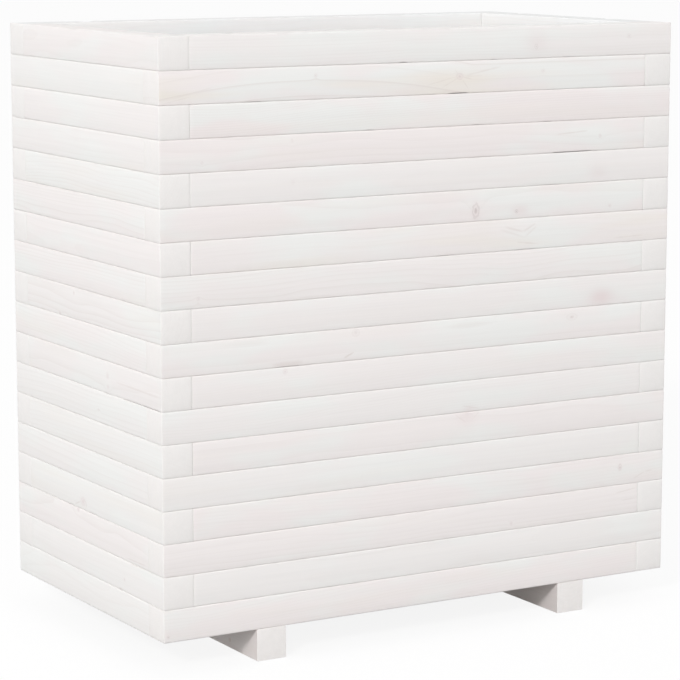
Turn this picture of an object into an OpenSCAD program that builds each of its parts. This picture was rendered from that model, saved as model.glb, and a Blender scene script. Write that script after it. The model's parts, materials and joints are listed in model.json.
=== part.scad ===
// Tall box planter built of square timber bars laid in courses.
// In each course the four bars chase each other round the box: every bar runs past one corner
// and butts against its neighbour at the other. The next course turns the other way, so the
// corners interlock like fingers. Posts inside the corners, a slatted floor and two foot bars
// hold the courses together.
// Millimetres. The origin is on the ground under the middle of the box, +Z is up and the
// front wall faces -Y. Course 1 is the top one.

/* [Box] */
// Overall length, left to right
box_length = 700; // [500:10:1100]
// Overall depth, front to back
box_depth = 400; // [300:10:700]
// Number of courses of bars
courses = 18; // [4:1:20]

/* [Wall bars] */
// Side of the square wall bars
bar = 38; // [30:1:50]
// Rounding of the long edges of the wall bars, which are planed
bar_ease = 1.6; // [0.5:0.1:4]

/* [Sawn ends] */
// Rounding of the end of each bar, post, board and foot, which is nearly as sharp as the saw left it
end_ease = 0.4; // [0.1:0.1:1]

/* [Feet] */
// Width of each foot bar
foot_width = 38; // [25:1:80]
// Height of each foot bar
foot_height = 38; // [34:1:60]
// From each end of the box to the outer side of the foot bar
foot_inset = 120; // [20:5:160]

/* [Corner posts] */
// Side of the square corner posts
post = 38; // [25:1:50]
// How far the posts stop below the top course
post_step = 7; // [0:1:8]

/* [Floor] */
// Number of floor boards
floor_boards = 5; // [3:1:7]
// Thickness of the floor boards
floor_thickness = 20; // [15:1:30]
// Width of the drain gaps between the boards
drain_gap = 7; // [5:0.5:12]
// Clearance between the boards and the walls and posts round them
floor_clearance = 1.5; // [0.5:0.5:4]
// Rounding of the long edges of boards, posts and feet
trim_ease = 1.2; // [0.5:0.1:3]

/* [Wall screws] */
// Shank diameter of the screws through the posts
wall_screw_d = 4.5; // [3:0.5:6]
// Head diameter of the screws through the posts
wall_screw_head_d = 9; // [7:0.5:12]
// Depth that they reach into the wall bar
wall_screw_bite = 22; // [12:1:26]

/* [Floor screws] */
// Shank diameter of the screws through the floor boards
floor_screw_d = 4; // [3:0.5:5]
// Head diameter of the screws through the floor boards
floor_screw_head_d = 8; // [6:0.5:10]
// Depth that they reach into the foot bar
floor_screw_bite = 22; // [12:1:28]

/* [Foot screws] */
// Shank diameter of the screws that hold the walls to the feet
foot_screw_d = 6; // [4:0.5:8]
// Head diameter of these screws
foot_screw_head_d = 13; // [9:0.5:16]
// Head height of these screws
foot_screw_head_h = 4; // [2:0.5:6]
// Depth of the recess under the foot that takes the head
foot_screw_recess = 9; // [7:1:15]
// Depth that they reach into the lowest wall bar
foot_screw_bite = 24; // [12:1:26]

/* [Dowels] */
// Diameter of the dowels between the top two courses
dowel_d = 8; // [6:1:10]
// Length of each dowel, half of it in each course
dowel_length = 36; // [24:2:50]
// From the butted end of a bar to its inner dowel
dowel_setback = 100; // [60:5:120]

/* [Fits] */
// Gap all round a screw in its bore
screw_clearance = 0.2; // [0.1:0.05:0.4]
// Gap all round a dowel in its bore
dowel_clearance = 0.1; // [0.05:0.05:0.3]
// Space left past the end of a screw or dowel in a blind bore
end_clearance = 0.5; // [0.2:0.1:1]

/* [Hidden] */
$fn = 48;
timber = "#ece7e3";
inner_timber = "#e3ddd5";
dowel_wood = "#d2b48c";
screw_steel = "#b4b4b0";

box_height = courses * bar;
rim_z = foot_height + box_height;
inner_length = box_length - 2 * bar;
inner_depth = box_depth - 2 * bar;

foot_x = box_length / 2 - foot_inset - foot_width / 2;
foot_screw_y = box_depth / 2 - bar / 2;

post_top = rim_z - bar - post_step;
post_length = post_top - foot_height;
post_x = inner_length / 2 - post / 2;
post_y = inner_depth / 2 - post / 2;

floor_top = foot_height + floor_thickness;
floor_length = inner_length - 2 * floor_clearance;
floor_depth = inner_depth - 2 * floor_clearance;
board_width = (floor_depth - (floor_boards - 1) * drain_gap) / floor_boards;
board_pitch = board_width + drain_gap;
floor_screw_spread = board_width / 4;

first_screwed_course = 2;
corners = [[-1, -1], [1, -1], [1, 1], [-1, 1]];

function two_digits(n) = n < 10 ? str("0", n) : str(n);
function long_name(course) = str("long_bars_", two_digits(course));
function short_name(course) = str("short_bars_", two_digits(course));
function board_name(i) = str("floor_board_", i);
function corner_name(corner) =
    str(corner.y < 0 ? "front_" : "back_", corner.x < 0 ? "left_" : "right_");
function post_name(corner) = str(corner_name(corner), "post");
function post_screws_name(corner) = str(corner_name(corner), "post_screws");

function is_odd(n) = n % 2 == 1;
function course_z(course) = rim_z - course * bar;
function mid_z(course) = course_z(course) + bar / 2;
function board_y(i) = -floor_depth / 2 + board_width / 2 + (i - 1) * board_pitch;

// At each corner one of the course's two bars butts against the other. This is true where the
// butted one belongs to the front or back wall.
function long_bar_butts(corner, course) = (corner.x * corner.y > 0) == is_odd(course);

// ---- Shapes ----

// A rectangle with its corners rounded, from the origin
module eased_rectangle(w, h, r) {
    translate([r, 0]) square([w - 2 * r, h]);
    translate([0, r]) square([w, h - 2 * r]);
    for (x = [r, w - r], y = [r, h - r]) translate([x, y]) circle(r = r);
}

// A timber along +X from the origin, planed with rounded long edges and then sawn to length
module planed_timber(length, width, height, ease) {
    intersection() {
        rotate([90, 0, 90]) linear_extrude(length) eased_rectangle(width, height, ease);
        linear_extrude(height) eased_rectangle(length, width, end_ease);
        translate([0, width, 0])
            rotate([90, 0, 0]) linear_extrude(width) eased_rectangle(length, height, end_ease);
    }
}

module wall_bar(length) planed_timber(length, bar, bar, bar_ease);

// A countersunk screw that points down -Z, with the top of its head at the origin
module countersunk_screw(d, head_d, length) {
    head_h = (head_d - d) / 2;
    tip = d / 2;
    rotate_extrude()
        polygon([
            [0, 0],
            [head_d / 2, 0],
            [head_d / 2 - head_h, -head_h],
            [d / 2, -length + tip],
            [0, -length]
        ]);
}

// The bore that takes it, open at the top
module countersunk_bore(d, head_d, length) {
    r = d / 2 + screw_clearance;
    head_r = head_d / 2 + screw_clearance;
    translate([0, 0, -length - end_clearance]) cylinder(r = r, h = length + end_clearance + 1);
    translate([0, 0, r - head_r]) cylinder(r1 = r, r2 = head_r, h = head_r - r);
    cylinder(r = head_r, h = 1);
}

// ---- Placing ----

// Turns a course's bars the other way round the box on every second course
module handed(course) {
    if (is_odd(course)) children();
    else mirror([1, 0, 0]) children();
}

// Puts a second copy on the far side of the box
module and_opposite() {
    children();
    rotate([0, 0, 180]) children();
}

// Lays a screw through a post, head on its inner side, pointing out through the given wall
module at_wall_screw(corner, course) {
    through_long_wall = long_bar_butts(corner, course);
    turn = through_long_wall ? (corner.y < 0 ? 0 : 180) : (corner.x < 0 ? -90 : 90);
    translate([corner.x * post_x, corner.y * post_y, mid_z(course)])
        rotate([0, 0, turn]) translate([0, post / 2, 0]) rotate([-90, 0, 0]) children();
}

module at_floor_screws(i) {
    for (x = [-foot_x, foot_x], dy = [-floor_screw_spread, floor_screw_spread])
        translate([x, board_y(i) + dy, floor_top]) children();
}

module at_foot_screws(x) {
    for (y = [-foot_screw_y, foot_screw_y]) translate([x, y, 0]) children();
}

// Each top bar has a dowel at its lapped corner and one set back from its butted end
module at_rim_dowels() {
    seam_z = rim_z - bar;
    and_opposite() {
        translate([box_length / 2 - bar / 2, -box_depth / 2 + bar / 2, seam_z]) children();
        translate([-box_length / 2 + bar + dowel_setback, -box_depth / 2 + bar / 2, seam_z])
            children();
        translate([-box_length / 2 + bar / 2, -box_depth / 2 + bar / 2, seam_z]) children();
        translate([-box_length / 2 + bar / 2, box_depth / 2 - bar - dowel_setback, seam_z])
            children();
    }
}

// ---- Fasteners ----

module wall_screw() countersunk_screw(wall_screw_d, wall_screw_head_d, post + wall_screw_bite);
module wall_screw_bore() countersunk_bore(wall_screw_d, wall_screw_head_d, post + wall_screw_bite);

module floor_screw()
    countersunk_screw(floor_screw_d, floor_screw_head_d, floor_thickness + floor_screw_bite);
module floor_screw_bore()
    countersunk_bore(floor_screw_d, floor_screw_head_d, floor_thickness + floor_screw_bite);

// A cup-headed screw that points up, its head sunk in the underside of the foot
module foot_screw() {
    shank = foot_height - foot_screw_recess + foot_screw_bite;
    tip = foot_screw_d / 2;
    translate([0, 0, foot_screw_recess])
        rotate_extrude()
            polygon([
                [0, -foot_screw_head_h],
                [foot_screw_head_d / 2, -foot_screw_head_h],
                [foot_screw_head_d / 2, 0],
                [foot_screw_d / 2, 0],
                [foot_screw_d / 2, shank - tip],
                [0, shank]
            ]);
}

module foot_screw_bore() {
    top = foot_height + foot_screw_bite + end_clearance;
    translate([0, 0, -1]) cylinder(r = foot_screw_head_d / 2 + 1, h = foot_screw_recess + 1);
    cylinder(r = foot_screw_d / 2 + screw_clearance, h = top);
}

module rim_dowel() cylinder(d = dowel_d, h = dowel_length, center = true);
module rim_dowel_bore()
    cylinder(r = dowel_d / 2 + dowel_clearance, h = dowel_length + 2 * end_clearance,
        center = true);

// ---- Walls ----

// The bars of the front and back walls in one course
module long_bars(course) {
    color(timber)
    difference() {
        handed(course) and_opposite()
            translate([-box_length / 2 + bar, -box_depth / 2, course_z(course)])
                wall_bar(box_length - bar);
        if (course >= first_screwed_course)
            for (corner = corners)
                if (long_bar_butts(corner, course)) at_wall_screw(corner, course) wall_screw_bore();
        if (course < first_screwed_course + 1) at_rim_dowels() rim_dowel_bore();
        if (course == courses)
            for (x = [-foot_x, foot_x]) at_foot_screws(x) foot_screw_bore();
    }
}

// The bars of the left and right walls in one course
module short_bars(course) {
    color(timber)
    difference() {
        handed(course) and_opposite()
            translate([-box_length / 2, box_depth / 2 - bar, course_z(course)])
                rotate([0, 0, -90]) wall_bar(box_depth - bar);
        if (course >= first_screwed_course)
            for (corner = corners)
                if (!long_bar_butts(corner, course)) at_wall_screw(corner, course) wall_screw_bore();
        if (course < first_screwed_course + 1) at_rim_dowels() rim_dowel_bore();
    }
}

module rim_dowels() {
    color(dowel_wood) at_rim_dowels() rim_dowel();
}

// ---- Corner posts ----

module corner_post(corner) {
    color(inner_timber)
    difference() {
        translate([corner.x * post_x + post / 2, corner.y * post_y - post / 2, foot_height])
            rotate([0, -90, 0]) planed_timber(post_length, post, post, trim_ease);
        for (course = [first_screwed_course:courses]) at_wall_screw(corner, course) wall_screw_bore();
    }
}

module corner_post_screws(corner) {
    color(screw_steel)
    for (course = [first_screwed_course:courses]) at_wall_screw(corner, course) wall_screw();
}

// ---- Floor ----

// The space that the corner posts take out of the floor
module post_notches() {
    side = post + 2 * floor_clearance;
    for (corner = corners)
        translate([corner.x * post_x - side / 2, corner.y * post_y - side / 2, foot_height - 1])
            cube([side, side, floor_thickness + 2]);
}

module floor_board(i) {
    color(inner_timber)
    difference() {
        translate([-floor_length / 2, board_y(i) - board_width / 2, foot_height])
            planed_timber(floor_length, board_width, floor_thickness, trim_ease);
        post_notches();
        at_floor_screws(i) floor_screw_bore();
    }
}

module floor_screws() {
    color(screw_steel)
    for (i = [1:floor_boards]) at_floor_screws(i) floor_screw();
}

// ---- Feet ----

module foot(x) {
    color(timber)
    difference() {
        translate([x + foot_width / 2, -box_depth / 2, 0])
            rotate([0, 0, 90]) planed_timber(box_depth, foot_width, foot_height, trim_ease);
        at_foot_screws(x) foot_screw_bore();
        for (i = [1:floor_boards]) at_floor_screws(i) floor_screw_bore();
    }
}

module foot_screws() {
    color(screw_steel)
    for (x = [-foot_x, foot_x]) at_foot_screws(x) foot_screw();
}

// ---- Assembly ----

for (c = [1:courses]) {
    long_bars(c);
    short_bars(c);
}
for (corner = corners) {
    corner_post(corner);
    corner_post_screws(corner);
}
for (i = [1:floor_boards]) {
    floor_board(i);
}
foot(-foot_x);  // left_foot
foot(foot_x);  // right_foot
floor_screws();
foot_screws();
rim_dowels();
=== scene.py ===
"""Looks of a tall box planter: whitewashed pine bars laid in courses, on two foot bars.

Metres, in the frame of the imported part: the origin is on the ground under the middle of the box,
+Z is up and the front wall faces -Y. Course 1 is the top one, and odd and even courses turn
opposite ways round the box.
"""

import json
import logging
import math
import random
from collections.abc import Callable, Mapping, Sequence
from dataclasses import dataclass, field, replace
from enum import Enum
from functools import reduce
from typing import Union

import bmesh
import bpy
from mathutils import Matrix, Vector

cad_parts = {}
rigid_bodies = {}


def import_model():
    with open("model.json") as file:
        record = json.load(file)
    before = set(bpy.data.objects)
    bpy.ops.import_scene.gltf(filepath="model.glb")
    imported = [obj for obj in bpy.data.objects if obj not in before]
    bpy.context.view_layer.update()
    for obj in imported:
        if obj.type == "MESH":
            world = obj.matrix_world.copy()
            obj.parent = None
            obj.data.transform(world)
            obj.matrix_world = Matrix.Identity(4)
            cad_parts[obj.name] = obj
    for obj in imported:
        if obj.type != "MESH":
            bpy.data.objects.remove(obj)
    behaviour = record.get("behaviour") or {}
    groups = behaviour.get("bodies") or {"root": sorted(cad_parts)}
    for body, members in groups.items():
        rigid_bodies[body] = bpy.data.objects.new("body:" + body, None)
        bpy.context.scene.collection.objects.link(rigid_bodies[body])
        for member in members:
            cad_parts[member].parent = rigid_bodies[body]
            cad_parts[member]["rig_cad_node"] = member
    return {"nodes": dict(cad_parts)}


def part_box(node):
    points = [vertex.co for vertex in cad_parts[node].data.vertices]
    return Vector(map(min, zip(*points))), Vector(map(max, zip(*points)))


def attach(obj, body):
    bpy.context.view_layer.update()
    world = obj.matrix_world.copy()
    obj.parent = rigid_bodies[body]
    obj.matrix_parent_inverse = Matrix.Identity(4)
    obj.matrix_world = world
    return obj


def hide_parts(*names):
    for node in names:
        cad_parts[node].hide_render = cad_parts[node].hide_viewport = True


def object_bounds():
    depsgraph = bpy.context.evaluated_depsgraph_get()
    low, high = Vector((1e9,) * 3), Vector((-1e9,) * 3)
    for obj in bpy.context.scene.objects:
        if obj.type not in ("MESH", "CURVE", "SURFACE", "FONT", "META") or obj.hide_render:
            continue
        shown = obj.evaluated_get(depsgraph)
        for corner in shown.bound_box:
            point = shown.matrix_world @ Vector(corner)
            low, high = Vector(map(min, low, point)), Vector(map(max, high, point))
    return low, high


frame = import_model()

LOG = logging.getLogger("planter")
CAD_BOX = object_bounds()
BODY = "root"
MM = 0.001
TINY = 0.02 * MM

Colour = tuple[float, float, float, float]
Span = tuple[float, float]
Lumps = tuple[float, float, float]  # of noise, to a metre along X, Y and Z
Socket = bpy.types.NodeSocket
Number = Union[Socket, float]
Feed = Union[Socket, float, Sequence[float]]
Inputs = Mapping[Union[int, str], Feed]
Piece = bpy.types.Object
Spot = tuple[Vector, Vector]  # where a screw's head is, and which way it points

X_AXIS, Y_AXIS, Z_AXIS = (Vector(row) for row in Matrix.Identity(3))
DOWN = Vector((0, 0, -1))
WHITE = (1.0, 1.0, 1.0, 1.0)
VECTOR, COLOUR = "NodeSocketVector", "NodeSocketColor"
SHARE, UNDER, OVER, MIXED = 0, 6, 7, 2  # a Mix node's sockets for colours


def srgb(*levels: int) -> Colour:
    """Turn the red, green and blue of a screen, 0 to 255, into the linear colour for shaders."""
    shares = (level / 255 for level in levels)
    return (*(x / 12.92 if x <= 0.04045 else ((x + 0.055) / 1.055) ** 2.4 for x in shares), 1.0)


# ---- Sizes ----


class Wall(Enum):
    """The four walls, by where they stand."""

    FRONT = "front"
    BACK = "back"
    LEFT = "left"
    RIGHT = "right"

    @property
    def is_long(self) -> bool:
        """Whether the wall runs along X."""
        return self in (Wall.FRONT, Wall.BACK)

    @property
    def is_high_side(self) -> bool:
        """Whether the wall stands on the +X or +Y side."""
        return self in (Wall.BACK, Wall.RIGHT)


@dataclass(frozen=True)
class PlanterSize:
    """The planter's driving sizes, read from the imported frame."""

    length: float
    depth: float
    bar: float
    courses: int
    rim: float

    @classmethod
    def from_frame(cls) -> "PlanterSize":
        """Read the sizes.

        Returns:
            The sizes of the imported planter.
        """
        low, high = CAD_BOX
        bar_low, bar_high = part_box("long_bars_01")
        courses = sum(name.startswith("long_bars_") for name in frame["nodes"])
        return cls(high.x - low.x, high.y - low.y, bar_high.z - bar_low.z, courses, high.z)

    def course_z(self, course: int) -> float:
        """Return the height of a course's underside."""
        return self.rim - course * self.bar

    def wall_length(self, wall: Wall) -> float:
        """Return the outer length of a wall."""
        return self.length if wall.is_long else self.depth


# ---- Modelling by hand ----


def select_only(piece: Piece) -> None:
    """Leave one object selected and active.

    Args:
        piece: The object.
    """
    bpy.ops.object.select_all(action="DESELECT")
    piece.select_set(True)
    bpy.context.view_layer.objects.active = piece


class EditSession:
    """Edit mode on one object, with selections made in code by place."""

    def __init__(self, piece: Piece) -> None:
        """Remember the object."""
        self.piece = piece

    def __enter__(self) -> "EditSession":
        """Go into edit mode.

        Returns:
            The session.
        """
        select_only(self.piece)
        bpy.ops.object.mode_set(mode="EDIT")
        return self

    def __exit__(self, *trouble: object) -> None:
        """Go back to object mode."""
        bpy.ops.object.mode_set(mode="OBJECT")

    def pick(self, kind: str, wanted: Callable[..., bool]) -> int:
        """Select the edges or vertices that pass a test, and nothing else.

        Args:
            kind: "EDGE" or "VERT".
            wanted: Takes the places of an edge's two ends, or a vertex's place.

        Returns:
            How many were selected.
        """
        bpy.ops.mesh.select_mode(type=kind)
        bpy.ops.mesh.select_all(action="DESELECT")
        mesh = bmesh.from_edit_mesh(self.piece.data)
        parts = mesh.edges if kind == "EDGE" else mesh.verts
        for part in parts:
            part.select = wanted(*(end.co for end in (part.verts if kind == "EDGE" else (part,))))
        mesh.select_flush_mode()
        bmesh.update_edit_mesh(self.piece.data)
        return sum(part.select for part in parts)

    def cut(self, axis: Vector, far: float) -> None:
        """Cut the whole mesh across an axis, some way along it, and keep both sides."""
        bpy.ops.mesh.select_all(action="SELECT")
        bpy.ops.mesh.bisect(plane_co=axis * far, plane_no=axis)

    def draw_out(self, rise: float, share: float) -> None:
        """Extrude what is selected up by a rise, and scale its far end about the Z axis."""
        bpy.ops.mesh.extrude_region_move(TRANSFORM_OT_translate={"value": (0, 0, rise)})
        bpy.ops.transform.resize(value=(share, share, 1), center_override=(0, 0, 0))


def copy_of(master: Piece, name: str, place: Matrix) -> Piece:
    """Copy an object, mesh and all, and put the copy's place in its mesh.

    Args:
        master: What is copied.
        name: The copy's name.
        place: Where the copy goes.

    Returns:
        The copy, at the origin and unturned.
    """
    piece = master.copy()
    piece.data = master.data.copy()
    piece.name = piece.data.name = name
    bpy.context.scene.collection.objects.link(piece)
    piece.matrix_world = place
    select_only(piece)
    bpy.ops.object.transform_apply(location=True, rotation=True, scale=True)
    return piece


def smooth(piece: Piece, angle: float = math.radians(40)) -> None:
    """Shade an object smooth wherever its faces meet at less than an angle."""
    select_only(piece)
    bpy.ops.object.shade_smooth_by_angle(angle=angle)


# ---- Node trees ----


class NodeSketch:
    """Short calls that add and link the nodes of one tree."""

    def __init__(self, tree: bpy.types.NodeTree) -> None:
        """Start on a tree."""
        self.tree = tree

    def add(self, kind: str, *values: Feed, named: Inputs | None = None,
            **settings: object) -> bpy.types.Node:
        """Add a node, set its properties and fill its inputs.

        Args:
            kind: The node's type.
            values: What its first inputs take: an output to link, or a plain value.
            named: What the inputs of certain names or numbers take.
            settings: Its properties.

        Returns:
            The node.
        """
        node = self.tree.nodes.new(kind)
        for name, value in settings.items():
            setattr(node, name, value)
        for label, value in (*enumerate(values), *(named or {}).items()):
            if isinstance(value, Socket):
                self.tree.links.new(value, node.inputs[label])
            else:
                node.inputs[label].default_value = value
        return node

    def math(self, operation: str, *values: Number, clamp: bool = False) -> Socket:
        """Return the result of a Math node."""
        return self.add("ShaderNodeMath", *values, operation=operation, use_clamp=clamp).outputs[0]

    def product(self, *values: Number) -> Socket:
        """Return the product of numbers, of which one of the first two is an output."""
        return reduce(lambda total, value: self.math("MULTIPLY", total, value), values)

    def diagonal(self, *sides: Socket) -> Socket:
        """Return the diagonal over two sides."""
        squares = (self.math("POWER", side, 2.0) for side in sides)
        return self.math("SQRT", self.math("ADD", *squares))

    def vectors(self, operation: str, *values: Feed) -> Socket:
        """Return the result of a Vector Math node."""
        label = "Value" if operation in ("DOT_PRODUCT", "LENGTH") else "Vector"
        return self.add("ShaderNodeVectorMath", *values, operation=operation).outputs[label]

    def split(self, vector: Socket) -> tuple[Socket, ...]:
        """Return a vector's X, Y and Z."""
        return tuple(self.add("ShaderNodeSeparateXYZ", vector).outputs)

    def join(self, *numbers: Number) -> Socket:
        """Return a vector made of three numbers."""
        return self.add("ShaderNodeCombineXYZ", *numbers).outputs[0]

    def noise(self, vector: Socket, lumps: Lumps, detail: float = 2.0,
              label: str = "Fac") -> Socket:
        """Return noise about 0.5.

        Args:
            vector: The place.
            lumps: How many lumps there are to a metre.
            detail: How fine the lumps' own lumps get.
            label: Which of the node's outputs is wanted.

        Returns:
            The noise.
        """
        place = self.vectors("MULTIPLY", vector, lumps)
        named = {"Vector": place, "Scale": 1.0, "Detail": detail}
        return self.add("ShaderNodeTexNoise", named=named).outputs[label]

    def ease(self, *numbers: Number) -> Socket:
        """Return a smooth step of a value from one number to another, between two results."""
        return self.add("ShaderNodeMapRange", *numbers, interpolation_type="SMOOTHSTEP").outputs[0]

    def blend(self, share: Number, under: Feed, over: Feed, kind: str = "MIX") -> Socket:
        """Mix two colours.

        Args:
            share: How much of the second shows.
            under: The first.
            over: The second.
            kind: Blender's way of mixing.

        Returns:
            The mixed colour.
        """
        named = {SHARE: share, UNDER: under, OVER: over}
        mix = self.add("ShaderNodeMix", named=named, data_type="RGBA", blend_type=kind)
        return mix.outputs[MIXED]

    def surface(self, colour: Socket, rough: Socket, height: Socket, metallic: float = 0.0) -> None:
        """Add the shader, its bump and the tree's output.

        Args:
            colour: The base colour.
            rough: The roughness.
            height: The bump's height in metres.
            metallic: 1 for metal.
        """
        bump = self.add("ShaderNodeBump",
                        named={"Strength": 1.0, "Distance": 1.0, "Height": height}).outputs[0]
        shader = self.add("ShaderNodeBsdfPrincipled", named={
            "Base Color": colour, "Roughness": rough, "Metallic": metallic, "Normal": bump})
        self.add("ShaderNodeOutputMaterial", shader.outputs[0])


def floats(*names: str) -> dict[str, str]:
    """Return the socket types of inputs or outputs that are plain numbers."""
    return dict.fromkeys(names, "NodeSocketFloat")


class GroupSketch(NodeSketch):
    """A node group under construction."""

    def __init__(self, name: str, inputs: dict[str, str], outputs: dict[str, str]) -> None:
        """Start a group with its sockets.

        Args:
            name: The group's name.
            inputs: Each input's name and socket type.
            outputs: Each output's name and socket type.
        """
        group = bpy.data.node_groups.new(name, "ShaderNodeTree")
        for direction, sockets in (("INPUT", inputs), ("OUTPUT", outputs)):
            for label, kind in sockets.items():
                group.interface.new_socket(label, in_out=direction, socket_type=kind)
        super().__init__(group)
        self.given = self.add("NodeGroupInput").outputs

    def give(self, **results: Socket) -> bpy.types.NodeTree:
        """Link the group's outputs and return its tree."""
        self.add("NodeGroupOutput", named=results)
        return self.tree


def new_material(name: str) -> tuple[bpy.types.Material, NodeSketch]:
    """Make an empty material.

    Args:
        name: Its name.

    Returns:
        The material, and a sketch of its empty tree.
    """
    material = bpy.data.materials.new(name)
    material.use_nodes = True
    material.node_tree.nodes.clear()
    return material, NodeSketch(material.node_tree)


# ---- Finishes ----


@dataclass(frozen=True)
class Knot:
    """A knot that goes through a bar from its outer to its inner side, in millimetres.

    Its place is measured along the bar's wall from the wall's low X or Y end, and up from the
    bar's underside.
    """

    along: float
    up: float
    radius: float = 3.0
    tall: float = 1.2
    core: float = 0.3
    halo: float = 0.0

    @classmethod
    def at_random(cls, chance: random.Random, *spans: Span) -> "Knot":
        """Pick a knot, with a span for each field."""
        return cls(*(chance.uniform(*span) for span in spans))


@dataclass(frozen=True)
class KnotPattern:
    """How any knot is drawn. Distances are shares of its radius."""

    lumps: Lumps = (240.0, 240.0, 240.0)
    ragged: float = 0.9
    heart: Span = (0.55, 0.15)
    ring_inside: Span = (0.6, 0.85)
    ring_outside: Span = (1.2, 0.9)
    ring_strength: float = 0.55
    halo_fall: float = -0.8
    push_fall: float = -0.16
    push: float = 1.1

    def group(self) -> bpy.types.NodeTree:
        """Make the node group that draws one knot.

        Returns:
            The group.
        """
        sketch = GroupSketch(
            "pine_knot", {"Vector": VECTOR, **floats("Along", "Up", "Radius", "Tall")},
            floats("Core", "Halo", "Push"),
        )
        given = sketch.given
        x, _, z = sketch.split(given["Vector"])
        rags = sketch.noise(given["Vector"], self.lumps)
        dx = sketch.math("SUBTRACT", x, given["Along"])
        dz = sketch.math("DIVIDE", sketch.math("SUBTRACT", z, given["Up"]), given["Tall"])
        far = sketch.math("DIVIDE", sketch.diagonal(dx, dz), given["Radius"])
        rags = sketch.math("MULTIPLY_ADD", rags, self.ragged, -self.ragged / 2)
        share = sketch.math("ADD", far, rags)
        heart = sketch.ease(share, *self.heart)
        ring = sketch.product(sketch.ease(share, *self.ring_inside),
                              sketch.ease(share, *self.ring_outside), self.ring_strength)
        spread = sketch.math("POWER", far, 2.0)
        halo, fade = (
            sketch.math("EXPONENT", sketch.math("MULTIPLY", spread, fall))
            for fall in (self.halo_fall, self.push_fall)
        )
        push = sketch.product(fade, given["Radius"], self.push)
        return sketch.give(Core=sketch.math("ADD", heart, ring), Halo=halo, Push=push)


@dataclass(frozen=True)
class Streak:
    """A short line of dark grain on a bar, between two places given as a knot's is."""

    start: Span
    end: Span
    strength: float = 0.4
    wide: float = 1.1


@dataclass(frozen=True)
class StreakPattern:
    """How any streak is drawn, and how far it sways."""

    lumps: Lumps = (90.0, 0.0, 90.0)
    sway: float = 1.6 * MM

    def group(self) -> bpy.types.NodeTree:
        """Make the node group that draws one streak.

        Returns:
            The group.
        """
        sketch = GroupSketch(
            "grain_streak",
            {"Vector": VECTOR, "Start": VECTOR, "Run": VECTOR, **floats("Wide")},
            floats("Streak"),
        )
        given = sketch.given
        run = given["Run"]
        flat = sketch.vectors("MULTIPLY", given["Vector"], (1.0, 0.0, 1.0))
        off = sketch.vectors("SUBTRACT", flat, given["Start"])
        reach, whole = (sketch.vectors("DOT_PRODUCT", way, run) for way in (off, run))
        share = sketch.math("DIVIDE", reach, whole, clamp=True)
        step = sketch.vectors("MULTIPLY", run, sketch.join(share, share, share))
        far = sketch.vectors("LENGTH", sketch.vectors("SUBTRACT", off, step))
        sway = sketch.noise(given["Vector"], self.lumps)
        sway = sketch.math("MULTIPLY_ADD", sway, self.sway, -self.sway / 2)
        far = sketch.math("ADD", far, sway)
        line = sketch.ease(far, given["Wide"], 0.0)
        ends = sketch.product(share, sketch.math("SUBTRACT", 1.0, share), 4.0)
        return sketch.give(Streak=sketch.product(line, sketch.math("SQRT", ends)))


@dataclass(frozen=True)
class Grain:
    """How one piece was cut from the tree, in metres.

    The pith is the middle of the growth rings, measured from the piece's corner. The bow bends
    the rings upwards in the middle of the bar, which draws arches on its sides.
    """

    pith: Span
    ring: float
    bow: float
    bow_at: float
    rings_show: float
    warmth: float
    pinkness: float
    seed: float
    wander: float = 14 * MM
    sharpness: float = 3.5
    knots: tuple[Knot, ...] = ()
    streaks: tuple[Streak, ...] = ()

    @classmethod
    def at_random(cls, chance: random.Random, length: float, pinkness: Span,
                  **extras: object) -> "Grain":
        """Pick the grain of an ordinary piece.

        Args:
            chance: The source of chance.
            length: The length over which the rings may arch.
            pinkness: The least and the most that the wood may shine through pink.
            extras: Its other fields.

        Returns:
            The grain.
        """
        turn = chance.uniform(0, 2 * math.pi)
        away = chance.uniform(30 * MM, 80 * MM)
        middle = 19 * MM  # of a bar's section
        return cls(
            pith=(middle + away * math.cos(turn), middle + away * math.sin(turn)),
            ring=chance.uniform(2.6 * MM, 5.5 * MM),
            bow=chance.uniform(-0.10, 0.12),
            bow_at=chance.uniform(0, length),
            rings_show=chance.uniform(0.08, 0.42),
            warmth=chance.uniform(0, 0.28),
            pinkness=chance.uniform(*pinkness),
            seed=chance.uniform(0, 90),
            **extras,
        )


GRAIN_INPUTS = ("Ring", "Sharpness", "Bow", "Bow At", "Wander", "Rings Show", "Warmth", "Pinkness",
                "Seed")


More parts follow.
